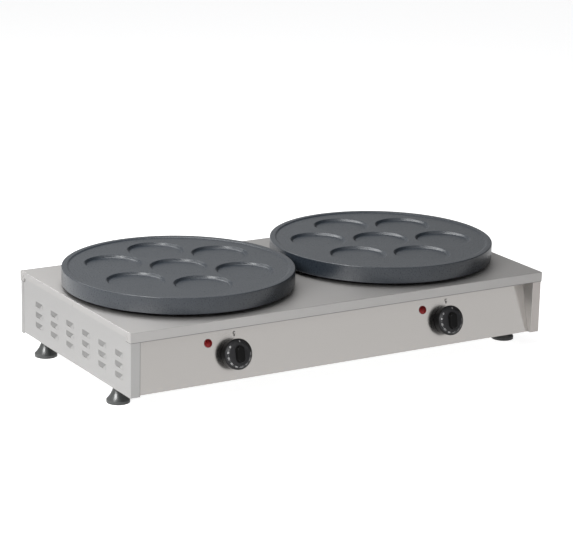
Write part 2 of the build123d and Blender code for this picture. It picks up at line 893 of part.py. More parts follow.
def thermostat_screws(x):
    """Two pan-head screws under the knob."""
    with BuildPart() as screws:
        with BuildSketch(on_panel(x, knob_z)):
            with GridLocations(thermostat_screw_pitch, 1, 2, 1):
                Circle(screw_diameter / 2)
        extrude(amount=-sheet - thermostat_plate - screw_grip / 2)
        with BuildSketch(on_panel(x, knob_z)):
            with GridLocations(thermostat_screw_pitch, 1, 2, 1):
                Circle(screw_head / 2)
        extrude(amount=screw_head_height, taper=head_taper)
    return screws.part


def flatted_circle(radius, flat):
    """A round section with one flat, inside the sketch that is open."""
    Circle(radius)
    with Locations((0, radius)):
        Rectangle(2 * radius, 2 * flat, mode=Mode.SUBTRACT)


spindle_tip = knob_depth - dial_rim


def spindle(x):
    """The thermostat's spindle, round in its bush and flatted in the knob."""
    with BuildPart() as shaft:
        with BuildSketch(on_panel(x, knob_z, out=-spindle_seat)):
            Circle(spindle_diameter / 2)
        extrude(amount=spindle_seat + knob_gap)
        with BuildSketch(on_panel(x, knob_z, out=knob_gap)):
            flatted_circle(spindle_diameter / 2, spindle_flat)
        extrude(amount=spindle_tip - knob_gap)
    return shaft.part


def knob(x):
    """Hollow skirt, hub with a flatted bore, conical dial, and the grip bar across its face."""
    face = knob_depth - dial_rim
    with BuildPart() as turned:
        with BuildSketch(on_panel(x, knob_z, out=knob_gap)):
            Circle(skirt_diameter / 2)
        extrude(amount=face - knob_gap)
        with BuildSketch(on_panel(x, knob_z, out=knob_gap)):
            Circle(skirt_diameter / 2 - knob_wall)
            Circle(hub_diameter / 2, mode=Mode.SUBTRACT)
        extrude(amount=face - knob_gap, mode=Mode.SUBTRACT)
        with BuildSketch(on_panel(x, knob_z, out=face)):
            Circle(dial_diameter / 2)
        extrude(amount=dial_rim)
        with Locations(on_panel(x, knob_z, out=knob_depth + dial_rise / 2).location):
            Cone(dial_diameter / 2, face_diameter / 2, dial_rise)
        with BuildSketch(on_panel(x, knob_z, out=knob_depth + dial_rise)):
            SlotOverall(grip_length, grip_width, rotation=90)
        with BuildSketch(on_panel(x, knob_z, out=knob_depth + dial_rise + grip_height)):
            SlotOverall(grip_length - grip_draft, grip_tip_width, rotation=90)
        loft()
        with BuildSketch(on_panel(x, knob_z, out=knob_gap)):
            flatted_circle(spindle_diameter / 2, spindle_flat)
        extrude(amount=spindle_tip - knob_gap, mode=Mode.SUBTRACT)
    return turned.part


def lamp_holder(x):
    """Sleeve through the panel behind the lens, and two blades at its end."""
    with BuildPart() as holder:
        with BuildSketch(on_panel(x, lamp_z)):
            Circle(lamp_hole / 2 - sleeve_fit)
        extrude(amount=-holder_depth)
        for side in (-1, 1):
            with BuildSketch(on_panel(x + side * lamp_hole / 4, lamp_z, out=-holder_depth)):
                Rectangle(blade_sheet, blade_width)
            extrude(amount=-blade_length)
    return holder.part


def lamp_lens(x):
    """The red lens: a shallow dome on a thin rim that lies on the panel."""
    dome_radius = ((dome_diameter / 2) ** 2 + dome_height**2) / (2 * dome_height)
    with BuildPart() as lens:
        with BuildSketch(on_panel(x, lamp_z, out=lens_rim)):
            Circle(dome_diameter / 2)
        extrude(amount=dome_height)
        with Locations(on_panel(x, lamp_z, out=lens_rim + dome_height - dome_radius).location):
            Sphere(dome_radius, mode=Mode.INTERSECT)
        with BuildSketch(on_panel(x, lamp_z)):
            Circle(lens_diameter / 2)
        extrude(amount=lens_rim)
    return lens.part


def sensor(cx, cy, knob_x):
    """Bulb under the web, and its capillary down through the shield to the thermostat."""
    down_x, down_y = bulb_entry(cx, cy)
    bulb_z = web_z - bulb_diameter / 2
    housing_back = panel_back - thermostat_plate - thermostat_depth
    back = on_panel(knob_x, knob_z, out=housing_back).origin
    behind = on_panel(knob_x, knob_z, out=housing_back - capillary_straight).origin
    low_z = z_bottom + capillary_floor
    with BuildPart() as probe:
        with BuildSketch(Plane((cx - bulb_length / 2, cy, bulb_z), z_dir=(1, 0, 0))):
            Circle(bulb_diameter / 2)
        extrude(amount=bulb_length)
        with BuildLine() as path:
            FilletPolyline(
                (cx - bulb_length / 2, cy, bulb_z),
                (down_x, down_y, bulb_z),
                (down_x, down_y, low_z),
                (down_x, (down_y + back.Y) / 2, low_z),
                (behind.X, behind.Y, behind.Z),
                (back.X, back.Y, back.Z),
                radius=capillary_bend,
            )
        with BuildSketch(Plane((cx - bulb_length / 2, cy, bulb_z), z_dir=(-1, 0, 0))):
            Circle(capillary_diameter / 2)
        sweep(path=path.wires()[0])
    return probe.part


for side, (cx, cy) in plate_centres.items():
    save(griddle_plate(cx, cy, well_turns[side]), f"{side}_griddle_plate")
    save(heating_element(cx, cy), f"{side}_heating_element")
    save(element_clamp(cx, cy), f"{side}_element_clamp")
    screw_places = [(x, y, clamp_z) for x, y in clamp_screw_places(cx, cy)]
    screw_length = clamp_thickness + tube_diameter + clamp_screw_reach
    clamp_screws = hex_screw_set(
        screw_places, clamp_screw_diameter, screw_length, clamp_head_flats, clamp_head_height
    )
    save(clamp_screws, f"{side}_clamp_screws")
    save(heat_shield(cx, cy), f"{side}_heat_shield")
    save(insulation(cx, cy), f"{side}_insulation")
    save(overheat_cutout(cx, cy), f"{side}_overheat_cutout")
    save(plate_spacers(cx, cy), f"{side}_plate_spacers")
    save(plate_studs(cx, cy), f"{side}_plate_studs")
    save(plate_nuts(cx, cy), f"{side}_plate_nuts")
    knob_x = knob_centres[side]
    save(thermostat(knob_x), f"{side}_thermostat")
    save(thermostat_screws(knob_x), f"{side}_thermostat_screws")
    save(spindle(knob_x), f"{side}_spindle")
    save(knob(knob_x), f"{side}_knob")
    save(lamp_holder(knob_x - lamp_offset), f"{side}_lamp_holder")
    save(lamp_lens(knob_x - lamp_offset), f"{side}_lamp_lens")
    save(sensor(cx, cy, knob_x), f"{side}_sensor")

# Cable gland through the rear panel: body, cap and lock nut on one through bore
rear_face = rear_inner + sheet


def rear_plane(x, y):
    """A plane at x on the gland's height that faces the rear."""
    return Plane((x, y, gland_z), x_dir=(1, 0, 0), z_dir=(0, 1, 0))


with BuildPart() as cable_gland:
    with BuildSketch(rear_plane(gland_x, rear_face)):
        RegularPolygon(gland_flats / 2, 6, major_radius=False)
    extrude(amount=gland_body)
    with BuildSketch(rear_plane(gland_x, rear_face)):
        Circle(gland_thread / 2)
    extrude(amount=-sheet - gland_inside)
    with BuildSketch(rear_plane(gland_x, rear_face - sheet - gland_inside)):
        Circle(gland_bore)
    extrude(amount=sheet + gland_inside + gland_body, mode=Mode.SUBTRACT)
save(cable_gland.part, "cable_gland")

with BuildPart() as gland_cap_nut:
    with BuildSketch(rear_plane(gland_x, rear_face + gland_body)):
        RegularPolygon(gland_flats / 2, 6, major_radius=False)
    extrude(amount=gland_cap_hex)
    with BuildSketch(rear_plane(gland_x, rear_face + gland_body + gland_cap_hex)):
        Circle(gland_flats / 2)
    extrude(amount=gland_cap - gland_cap_hex, taper=cap_taper)
    with BuildSketch(rear_plane(gland_x, rear_face + gland_body)):
        Circle(gland_bore)
    extrude(amount=gland_cap, mode=Mode.SUBTRACT)
save(gland_cap_nut.part, "gland_cap")

with BuildPart() as gland_nut:
    with BuildSketch(rear_plane(gland_x, rear_inner)):
        RegularPolygon(gland_flats / 2, 6, major_radius=False)
        Circle(gland_thread / 2, mode=Mode.SUBTRACT)
    extrude(amount=-gland_locknut)
save(gland_nut.part, "gland_locknut")

# Earth stud with its two nuts on the rear panel
with BuildPart() as earth_stud:
    with BuildSketch(rear_plane(earth_x, rear_face + earth_length / 2)):
        Circle(earth_diameter / 2)
    extrude(amount=-earth_length)
    for y in (rear_face + earth_nut_height, rear_inner):
        with BuildSketch(rear_plane(earth_x, y)):
            RegularPolygon(earth_nut_flats / 2, 6, major_radius=False)
        extrude(amount=-earth_nut_height)
save(earth_stud.part, "earth_stud")

# Terminal block on the base plate, near the gland
with BuildPart() as terminal_block:
    block_rear = rear_inner - gland_inside - terminal_setback
    block_foot = base_z + sheet
    tower_y = block_rear - terminal_depth / 2
    block(
        (gland_x - terminal_width / 2, block_rear - terminal_depth, block_foot),
        (gland_x + terminal_width / 2, block_rear, block_foot + terminal_step),
    )
    block(
        (gland_x - terminal_width / 2, tower_y - terminal_tower / 2, block_foot),
        (gland_x + terminal_width / 2, tower_y + terminal_tower / 2, block_foot + terminal_height),
    )
    pitch = terminal_width / terminal_ways
    with BuildSketch(Plane.XY.offset(block_foot + terminal_height)):
        with Locations((gland_x, tower_y)):
            with GridLocations(pitch, 1, terminal_ways, 1):
                Circle(pitch / 4)
    extrude(amount=-terminal_height / 2, mode=Mode.SUBTRACT)
save(terminal_block.part, "terminal_block")

# Leads from the terminal block, in order of its ways: left neutral, left live, right neutral,
# right live and earth
way_xs = [gland_x + pitch * (i - (terminal_ways - 1) / 2) for i in range(terminal_ways)]
way_front = block_rear - terminal_depth - lead_gap
lead_radius = lead_diameter / 2
floor_level = base_z + sheet + lead_radius
tube_end_z = element_z - element_elbow - element_tail - lead_gap
blade_end_z = shield_z - cutout_height - blade_length - lead_gap


def lead(*points):
    """A sleeved wire through points, with tangent arcs at its corners."""
    direction = Vector(*points[1]) - Vector(*points[0])
    with BuildPart() as wire:
        with BuildLine() as path:
            FilletPolyline(*points, radius=lead_bend)
        with BuildSketch(Plane(Vector(*points[0]), z_dir=direction)):
            Circle(lead_radius)
        sweep(path=path.wires()[0])
    return wire.part


def wiring(cx, cy, knob_x, level, neutral_way, live_way, shift):
    """Four leads: terminal to thermostat, thermostat to cut-out, cut-out to tube, tube to terminal."""
    back = on_panel(knob_x, knob_z, out=panel_back - thermostat_plate - thermostat_depth).origin
    outer_end, inner_end = tail_places(cx, cy)
    low_blade_z = blade_end_z - lead_drop
    start_y = back.Y + lead_side * tan(slant) + lead_gap
    live_y = back.Y + harness_live - shift
    neutral_y = back.Y + harness_neutral + shift
    blade_x = cutout_diameter / 4
    live = lead(
        (live_way, way_front, level),
        (live_way, live_y, level),
        (knob_x - lead_side, live_y, level),
        (knob_x - lead_side, live_y, back.Z),
        (knob_x - lead_side, start_y, back.Z),
    )
    switched = lead(
        (knob_x + lead_side, start_y, back.Z),
        (knob_x + lead_side, cy - 2 * lead_drop, back.Z),
        (cx + blade_x, cy, back.Z),
        (cx + blade_x, cy, blade_end_z),
    )
    bridge = lead(
        (cx - blade_x, cy, blade_end_z),
        (cx - blade_x, cy, low_blade_z),
        (inner_end.X, inner_end.Y, low_blade_z),
        (inner_end.X, inner_end.Y, tube_end_z),
    )
    neutral = lead(
        (outer_end.X, outer_end.Y, tube_end_z),
        (outer_end.X, outer_end.Y, level),
        (outer_end.X, neutral_y, level),
        (neutral_way, neutral_y, level),
        (neutral_way, way_front, level),
    )
    return Compound(children=[live, switched, bridge, neutral])


left_wiring = wiring(*plate_centres["left"], knob_centres["left"], floor_level, way_xs[0], way_xs[1], 0)
save(left_wiring, "left_wiring")
right_wiring = wiring(
    *plate_centres["right"],
    knob_centres["right"],
    floor_level + lead_lift,
    way_xs[2],
    way_xs[3],
    harness_shift,
)
save(right_wiring, "right_wiring")
earth_end_y = rear_face + earth_length / 2 - earth_length - lead_gap
earth_turn_y = (block_rear + earth_end_y) / 2
earth_lead = lead(
    (way_xs[4], block_rear + lead_gap, floor_level + lead_lift),
    (way_xs[4], earth_turn_y, floor_level + lead_lift),
    (earth_x, earth_turn_y, floor_level + lead_lift),
    (earth_x, earth_turn_y, gland_z),
    (earth_x, earth_end_y, gland_z),
)
save(earth_lead, "earth_lead")

# Feet: bell-shaped, each moulded in one piece with its threaded stem
foot_base = foot_diameter / 2
neck = foot_neck / 2
stem_top = z_bottom + sheet + foot_travel + foot_thread
for name, (x, y) in foot_places.items():
    with BuildPart() as foot:
        with BuildSketch(Plane((x, y, 0), x_dir=(1, 0, 0), z_dir=(0, -1, 0))):
            with BuildLine():
                Polyline(
                    (0, stem_top),
                    (0, 0),
                    (foot_base, 0),
                    (foot_base, foot_rim),
                )
                ThreePointArc(
                    (foot_base, foot_rim),
                    (foot_base - foot_flare * (foot_base - neck), foot_height * foot_flare_height),
                    (neck, foot_height * foot_neck_height),
                )
                Polyline(
                    (neck, foot_height * foot_neck_height),
                    (neck, foot_height - foot_gap),
                    (foot_stem / 2, foot_height - foot_gap),
                    (foot_stem / 2, stem_top),
                    (0, stem_top),
                )
            make_face()
        revolve(axis=Axis((x, y, 0), (0, 0, 1)))
    save(foot.part, f"{name}_foot")

# Threaded inserts of the feet, on the side panels' bottom flanges
with BuildPart() as foot_inserts:
    with BuildSketch(Plane.XY.offset(z_bottom + sheet)):
        with Locations(*foot_places.values()):
            RegularPolygon(insert_flats / 2, 6, major_radius=False)
            Circle(foot_stem / 2 + foot_stem_fit, mode=Mode.SUBTRACT)
    extrude(amount=insert_height)
save(foot_inserts.part, "foot_inserts")

# Screws of the base plate, from below, and of the rear panel, from the rear
with BuildPart() as base_screws:
    with BuildSketch(Plane.XY.offset(z_bottom)):
        with Locations(*base_screw_places):
            Circle(screw_diameter / 2)
    extrude(amount=screw_grip)
    with BuildSketch(Plane.XY.offset(z_bottom)):
        with Locations(*base_screw_places):
            Circle(screw_head / 2)
    extrude(amount=-screw_head_height, taper=head_taper)
save(base_screws.part, "base_screws")

with BuildPart() as rear_screws:
    rear_points = [(side * rear_screw_x, z) for side in (-1, 1) for z in rear_screw_zs]
    with BuildSketch(Plane.XZ.offset(-rear_face)):
        with Locations(*rear_points):
            Circle(screw_diameter / 2)
    extrude(amount=screw_grip)
    with BuildSketch(Plane.XZ.offset(-rear_face)):
        with Locations(*rear_points):
            Circle(screw_head / 2)
    extrude(amount=-screw_head_height, taper=head_taper)
save(rear_screws.part, "rear_screws")
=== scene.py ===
"""Dresses the crepe maker's CAD frame: castings, knobs, print, finishes, light and camera."""

import json
import math

import bmesh
import bpy
import numpy as np
from mathutils import Matrix, Vector
from mathutils.geometry import delaunay_2d_cdt


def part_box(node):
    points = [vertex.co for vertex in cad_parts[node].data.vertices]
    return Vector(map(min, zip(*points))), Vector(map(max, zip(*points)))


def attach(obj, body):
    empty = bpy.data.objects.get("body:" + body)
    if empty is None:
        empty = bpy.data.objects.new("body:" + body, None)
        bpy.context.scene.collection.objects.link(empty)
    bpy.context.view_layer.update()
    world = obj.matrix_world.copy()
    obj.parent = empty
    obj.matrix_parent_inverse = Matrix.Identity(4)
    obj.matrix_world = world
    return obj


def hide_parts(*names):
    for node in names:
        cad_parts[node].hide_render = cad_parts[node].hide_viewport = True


MM = 0.001
MERGE_DISTANCE = 2e-6
SLIVER_LENGTH = 1e-7

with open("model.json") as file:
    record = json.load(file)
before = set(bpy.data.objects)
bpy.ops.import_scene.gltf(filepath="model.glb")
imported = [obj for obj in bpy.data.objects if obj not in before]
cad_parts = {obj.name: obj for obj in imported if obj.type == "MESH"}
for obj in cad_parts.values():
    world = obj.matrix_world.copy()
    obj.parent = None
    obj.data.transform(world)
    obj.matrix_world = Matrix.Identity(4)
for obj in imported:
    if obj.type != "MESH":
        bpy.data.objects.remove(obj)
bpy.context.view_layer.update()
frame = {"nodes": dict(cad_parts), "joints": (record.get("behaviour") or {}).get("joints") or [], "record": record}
nodes = frame["nodes"]
record = frame["record"]


# Surfaces


def grid_faces(rows, columns, wrap=True):
    """Quads of a rows by columns grid of points; wrap joins the last column to the first."""
    across = columns if wrap else columns - 1
    row, column = np.meshgrid(np.arange(rows - 1), np.arange(across), indexing="ij")
    here, after = row * columns + column, row * columns + (column + 1) % columns
    return np.stack([here, after, after + columns, here + columns], -1).reshape(-1, 4)


def lathe(profile, segments, centre=(0.0, 0.0)):
    """Turns a profile of (radius, height) pairs about an upright axis at centre."""
    angle = np.linspace(0, 2 * np.pi, segments, endpoint=False)
    radius, height = np.asarray(profile, float).T
    points = np.stack(
        [
            centre[0] + np.outer(radius, np.cos(angle)),
            centre[1] + np.outer(radius, np.sin(angle)),
            np.outer(height, np.ones(segments)),
        ],
        -1,
    )
    return points.reshape(-1, 3), grid_faces(len(radius), segments)


def rounded(corners, steps=6):
    """A profile through (radius, height, rounding) corners, each rounded corner a quadratic curve
    that starts and ends at its rounding's distance from the corner."""
    corners = np.asarray(corners, float)
    out = []
    for k, (x, z, size) in enumerate(corners):
        here = np.array([x, z])
        if size <= 0 or k in (0, len(corners) - 1):
            out.append(here[None])
            continue
        back = corners[k - 1, :2] - here
        on = corners[k + 1, :2] - here
        start = here + back / np.linalg.norm(back) * size
        end = here + on / np.linalg.norm(on) * size
        t = np.linspace(0, 1, steps + 1)[:, None]
        out.append((1 - t) ** 2 * start + 2 * t * (1 - t) * here + t**2 * end)
    return np.concatenate(out)


def join_patches(patches):
    """One list of points and faces from several patches."""
    points, faces, count = [], [], 0
    for patch_points, patch_faces in patches:
        points.append(np.asarray(patch_points, float))
        faces += (np.asarray(patch_faces) + count).tolist()
        count += len(patch_points)
    return np.concatenate(points), faces


def make_piece(name, patches, material, body, replaced=(), place=None):
    """A closed, smooth-shaded piece from patches in millimetres: doubles merged, poles closed and
    faces turned outwards."""
    points, faces = join_patches(patches)
    mesh = bpy.data.meshes.new(name)
    mesh.from_pydata((points * MM).tolist(), [], faces)
    if place is not None:
        mesh.transform(place)
    work = bmesh.new()
    work.from_mesh(mesh)
    bmesh.ops.remove_doubles(work, verts=work.verts, dist=MERGE_DISTANCE)
    bmesh.ops.dissolve_degenerate(work, edges=work.edges, dist=SLIVER_LENGTH)
    bmesh.ops.recalc_face_normals(work, faces=work.faces)
    work.to_mesh(mesh)
    work.free()
    mesh.shade_smooth()
    dress(name, mesh, material, body, replaced)


def dress(name, mesh, material, body, replaced=()):
    """Puts a finished mesh in the scene, on its body, with its material."""
    piece = bpy.data.objects.new(name, mesh)
    bpy.context.scene.collection.objects.link(piece)
    mesh.materials.append(material)
    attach(piece, body)
    if replaced:
        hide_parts(*replaced)


# Materials

NOISE_LOW, NOISE_HIGH = 0.3, 0.7
ALONG_X, ALONG_Y = (4, 4000, 4000), (4000, 4, 4000)
SCRATCH_DETAIL, SCRATCH_UNEVENNESS, SCRATCH_RELIEF, SCRATCH_DEPTH = 3.0, 0.02, 0.02, 0.00001
CASTING_ROUGHNESS, CASTING_UNEVENNESS = 0.3, 0.06
SAND_SCALE, SAND_DETAIL, SAND_RELIEF, SAND_DEPTH = 560, 3.0, 0.5, 0.0004
TONE_SCALE, TONE_DETAIL = 22, 4.0
MOULDING_SCALE, MOULDING_DEPTH = 2200, 0.00005
GRAIN_DEPTH = 0.0001
WHITE = (1, 1, 1, 1)
# A Mix node's sockets, for numbers and for colours
SHARE, FIRST_NUMBER_IN, SECOND_NUMBER_IN, NUMBER_OUT = 0, 2, 3, 0
FIRST_COLOUR_IN, SECOND_COLOUR_IN, COLOUR_OUT = 6, 7, 2


def shader_of(material):
    """The material's principled shader."""
    return material.node_tree.nodes["Principled BSDF"]


def new_finish(name, base, metallic, roughness, **sockets):
    """A principled material with its constants on the shader's own sockets."""
    material = bpy.data.materials.new(name)
    material.use_nodes = True
    shader = shader_of(material)
    shader.inputs["Base Color"].default_value = (*base, 1)
    shader.inputs["Metallic"].default_value = metallic
    shader.inputs["Roughness"].default_value = roughness
    for socket, value in sockets.items():
        shader.inputs[socket.replace("_", " ")].default_value = value
    return material


def object_noise(material, scale, detail=2.0):
    """Noise on Object coordinates; scale is one number, or one each along X, Y and Z."""
    tree = material.node_tree
    place = tree.nodes.new("ShaderNodeTexCoord")
    stretch = tree.nodes.new("ShaderNodeMapping")
    stretch.inputs["Scale"].default_value = np.broadcast_to(scale, 3).tolist()
    noise = tree.nodes.new("ShaderNodeTexNoise")
    noise.inputs["Scale"].default_value = 1.0
    noise.inputs["Detail"].default_value = detail
    tree.links.new(place.outputs["Object"], stretch.inputs["Vector"])
    tree.links.new(stretch.outputs["Vector"], noise.inputs["Vector"])
    return noise.outputs["Fac"]


def add_bump(material, height, strength, distance):
    """Bump from a height."""
    tree = material.node_tree
    bump = tree.nodes.new("ShaderNodeBump")
    bump.inputs["Strength"].default_value = strength
    bump.inputs["Distance"].default_value = distance
    tree.links.new(height, bump.inputs["Height"])
    tree.links.new(bump.outputs["Normal"], shader_of(material).inputs["Normal"])


def map_range(tree, value, start, end, low=0.0, high=1.0, smooth=False):
    """A value mapped from start..end to low..high, and held at both ends."""
    ramp = tree.nodes.new("ShaderNodeMapRange")
    if smooth:
        ramp.interpolation_type = "SMOOTHSTEP"
    ramp.inputs["From Min"].default_value = start
    ramp.inputs["From Max"].default_value = end
    ramp.inputs["To Min"].default_value = low
    ramp.inputs["To Max"].default_value = high
    tree.links.new(value, ramp.inputs["Value"])
    return ramp.outputs["Result"]


def combine(tree, operation, first, second=None):
    """A math node's result; second may be a socket, or left out where one value is enough."""
    node = tree.nodes.new("ShaderNodeMath")
    node.operation = operation
    tree.links.new(first, node.inputs[0])
    if second is not None:
        tree.links.new(second, node.inputs[1])
    return node.outputs["Value"]


def vary_roughness(material, noise, roughness, unevenness):
    """Lets a noise move the roughness up and down by the unevenness."""
    tree = material.node_tree
    low, high = roughness - unevenness, roughness + unevenness
    value = map_range(tree, noise, NOISE_LOW, NOISE_HIGH, low, high)
    tree.links.new(value, shader_of(material).inputs["Roughness"])


def tint(material, share, first, second):
    """Mixes the base colour from the first tone to the second by a share."""
    tree = material.node_tree
    mix = tree.nodes.new("ShaderNodeMix")
    mix.data_type = "RGBA"
    mix.inputs[FIRST_COLOUR_IN].default_value = (*first, 1)
    mix.inputs[SECOND_COLOUR_IN].default_value = (*second, 1)
    tree.links.new(share, mix.inputs[SHARE])
    tree.links.new(mix.outputs[COLOUR_OUT], shader_of(material).inputs["Base Color"])


def satin_steel(name, base, grain, roughness, blur, stretch):
    """Ground stainless sheet: fine scratches drawn out along the grain's axis, and reflections
    that blur across it, along the blur direction."""
    steel = new_finish(name, base, 1.0, roughness, Anisotropic=stretch)
    across = steel.node_tree.nodes.new("ShaderNodeCombineXYZ")
    for axis, value in zip("XYZ", blur):
        across.inputs[axis].default_value = value
    steel.node_tree.links.new(across.outputs["Vector"], shader_of(steel).inputs["Tangent"])
    scratches = object_noise(steel, grain, SCRATCH_DETAIL)
    vary_roughness(steel, scratches, roughness, SCRATCH_UNEVENNESS)
    add_bump(steel, scratches, SCRATCH_RELIEF, SCRATCH_DEPTH)
    return steel


def paint_edge_light_and_shade(steel, axis, edge, width, tone):
    """Paints light or shade along a sheet's edge: the base colour goes from the painted tone to the
    sheet's own over the width beyond the edge, measured along an axis of the Object coordinates,
    both sides alike."""
    tree = steel.node_tree
    place = tree.nodes.new("ShaderNodeTexCoord")
    split = tree.nodes.new("ShaderNodeSeparateXYZ")
    tree.links.new(place.outputs["Object"], split.inputs["Vector"])
    outward = combine(tree, "ABSOLUTE", split.outputs[axis])
    own_tone = shader_of(steel).inputs["Base Color"].default_value[:3]
    tint(steel, map_range(tree, outward, edge, edge + width), tone, own_tone)


def seasoned_casting(name, base, light, shine):
    """Blue-black coated casting: fine sandy grain, and slow changes of tone."""
    iron = new_finish(name, base, 0.0, CASTING_ROUGHNESS, Specular_IOR_Level=shine)
    sand = object_noise(iron, SAND_SCALE, SAND_DETAIL)
    tint(iron, object_noise(iron, TONE_SCALE, TONE_DETAIL), base, light)
    vary_roughness(iron, sand, CASTING_ROUGHNESS, CASTING_UNEVENNESS)
    add_bump(iron, sand, SAND_RELIEF, SAND_DEPTH)
    return iron


def moulded_black(name, grey, roughness, grain_strength, shine=0.3):
    """Moulded black plastic with a faint moulding grain; grey is one number, or a colour."""
    base = np.broadcast_to(grey, 3).tolist()
    plastic = new_finish(name, base, 0.0, roughness, Specular_IOR_Level=shine)
    add_bump(plastic, object_noise(plastic, MOULDING_SCALE), grain_strength, MOULDING_DEPTH)
    return plastic


def grained(name, base, metallic, roughness, scale, unevenness, relief, **sockets):
    """A plain material whose gloss and surface vary a little, at the grain's own scale."""
    material = new_finish(name, base, metallic, roughness, **sockets)
    grain = object_noise(material, scale)
    vary_roughness(material, grain, roughness, unevenness)
    add_bump(material, grain, relief, GRAIN_DEPTH)
    return material


SIDE_STEEL = (0.435, 0.43, 0.424)

finishes = {
    "cover_steel": satin_steel(
        "satin_cover_steel", (0.505, 0.495, 0.486), ALONG_X, 0.56, blur=(0, 1, 0), stretch=0.3
    ),
    "side_steel": satin_steel(
        "satin_side_steel", SIDE_STEEL, ALONG_Y, 0.36, blur=(0, 0, 1), stretch=0.8
    ),
    "front_steel": satin_steel(
        "satin_front_steel", (0.585, 0.563, 0.542), ALONG_X, 0.23, blur=(0, 0.25, 0.97), stretch=0.6
    ),
    "cast_plate": seasoned_casting(
        "seasoned_casting", (0.018, 0.025, 0.034), (0.029, 0.037, 0.048), shine=0.75
    ),
    "black_knob": moulded_black("black_thermoset", 0.01, 0.3, 0.1, shine=0.1),
    "black_nylon": moulded_black("black_polyamide", 0.03, 0.5, 0.2),
    "black_feet": moulded_black(
        "black_foot_polyamide", (0.045, 0.049, 0.048), 0.3, 0.1, shine=1.0
    ),
}
# slot: name, base colour, metallic, roughness, grain scale, unevenness of the gloss, relief
for slot, plain in {
    "inner_steel": ("mill_inner_steel", (0.5, 0.5, 0.49), 1, 0.45, (6, 1500, 1500), 0.05, 0.05),
    "element_steel": ("heat_tinted_tube", (0.25, 0.23, 0.21), 1, 0.4, 90, 0.1, 0.1),
    "bracket_steel": ("galvanised_bracket", (0.45, 0.45, 0.45), 1, 0.4, 180, 0.1, 0.05),
    "zinc_fasteners": ("bright_zinc", (0.62, 0.62, 0.6), 1, 0.25, 700, 0.06, 0.05),
    "mineral_wool": ("mineral_wool", (0.6, 0.55, 0.42), 0, 0.94, 900, 0.04, 1.0),
    "white_phenolic": ("white_steatite", (0.78, 0.77, 0.72), 0, 0.6, 1200, 0.08, 0.1),
    "copper_bulb": ("drawn_copper", (0.6, 0.32, 0.2), 1, 0.3, (10, 1600, 1600), 0.05, 0.05),
    "wire_sleeve": ("glass_wire_sleeve", (0.7, 0.66, 0.58), 0, 0.8, 1400, 0.1, 0.5),
}.items():
    finishes[slot] = grained(*plain)
finishes["red_lens"] = grained(
    "red_lamp_lens", (0.36, 0.013, 0.015), 0, 0.3, 300, 0.03, 0.02, Specular_IOR_Level=0.3
)
dial_plastic = moulded_black("satin_dial", (0.032, 0.032, 0.034), 0.42, 0.05, shine=0.25)
grip_plastic = moulded_black("black_grip_thermoset", 0.006, 0.3, 0.1, shine=0.12)
white_print = grained("white_dial_print", (0.78, 0.78, 0.78), 0, 0.6, 1500, 0.06, 0.05)
grey_print = grained("etched_grey_print", (0.03, 0.028, 0.028), 0, 0.7, 1500, 0.06, 0.05)

# The side panels have finishes of their own: beside the left one's strip a painted shade line, and
# the right one a brighter copy of the side steel, its return behind the strip painted bright as if lit.
side_panels = {
    "left_side_panel": satin_steel(
        "satin_left_steel", SIDE_STEEL, ALONG_Y, 0.36, blur=(0, 0, 1), stretch=0.8
    ),
    # Painted light: a brighter, rougher copy of the side steel, so that the right panel's strip and return look
    # lit.
    "right_side_panel": satin_steel(
        "satin_right_steel_painted_light", (0.62, 0.583, 0.56), ALONG_Y, 0.5, blur=(0, 0, 1), stretch=0.8
    ),
}
EDGE_CLEARANCE = 0.0003
strip_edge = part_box("front_panel")[1][0] + EDGE_CLEARANCE
lip_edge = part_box("top_cover")[0][2] + EDGE_CLEARANCE
for steel, axis, edge, width, tone in (
    # Painted shade: a dark line under the cover's lip stands for the shade in the gap there.
    (finishes["cover_steel"], "Z", lip_edge, 0.0008, (0.12, 0.12, 0.12)),
    # Painted shade: a dark line beside the left strip stands for the shade in its gap by the front panel.
    (side_panels["left_side_panel"], "X", strip_edge, 0.0007, (0.08, 0.08, 0.08)),
    # Painted light: the return behind the right strip is made near white, as if lit.
    (side_panels["right_side_panel"], "X", strip_edge, 0.0004, (0.99, 0.97, 0.95)),
):
    paint_edge_light_and_shade(steel, axis, edge, width, tone)

for entry in record["subparts"]:
    node = nodes[entry["node"]]
    finish = side_panels.get(entry["node"], finishes[entry["material_slot"]])
    if not node.material_slots:
        node.data.materials.append(finish)
    for slot in node.material_slots:
        slot.material = finish


# Griddle plates

PLATE_RADIUS = 200.0
RIM_WIDTH = 10.0
RIM_RISE = 1.8
SKIRT_WALL = 11.0
PLATE_WEB = 15.0
WELL_RADIUS = 49.8
WELL_DEPTH = 4.2
WELL_RING, WELLS_ROUND = 113.8, 6
WELL_PATCH = 53.0
WALL_FOOT, WALL_TOP, WALL_SOFTNESS = 43.8, 51.6, 0.1
FLOOR_EDGE, LAND_START = 43.0, 52.2
FLOOR_ROWS, WALL_ROWS, LAND_ROWS = 5, 44, 2
RIDGE_PITCH, RIDGE_MIDDLE, RIDGE_REACH = 1.3, 1.4, 2.0
LAND_EDGE = 182.0
FILL_INSIDE, SAME_POINT, IN_A_WELL = 1, 1e-6, 0.9995
BEVEL_FOOT, BEVEL_TOP = 1.6, 0.4
LAND_CORNER, RIM_INNER_CORNER, RIM_OUTER_CORNER = 1.5, 1.2, 1.5
FOOT_OUTER_CORNER, FOOT_INNER_CORNER, WEB_CORNER = 1.2, 0.8, 1.5
RIM_STEPS = 8
STUD_X, STUD_Y = 164.0, 60.0
BOSS_RADIUS, STUD_RADIUS, STUD_DEPTH = 11.0, 4.0, 9.0
BOSS_ROOT, BOSS_CORNER = 0.4, 0.6
AROUND, AROUND_WELL, AROUND_BOSS = 288, 160, 32
LEFT_TURN, LEFT_RIDGES = -37.4, 0.3
RIGHT_TURN, RIGHT_RIDGES = -23.5, 0.05


def soft_step(t, softness):
    """0 below 0, 1 above 1 and a straight rise between, both corners rounded over softness."""
    return softness * (np.logaddexp(0, t / softness) - np.logaddexp(0, (t - 1) / softness))


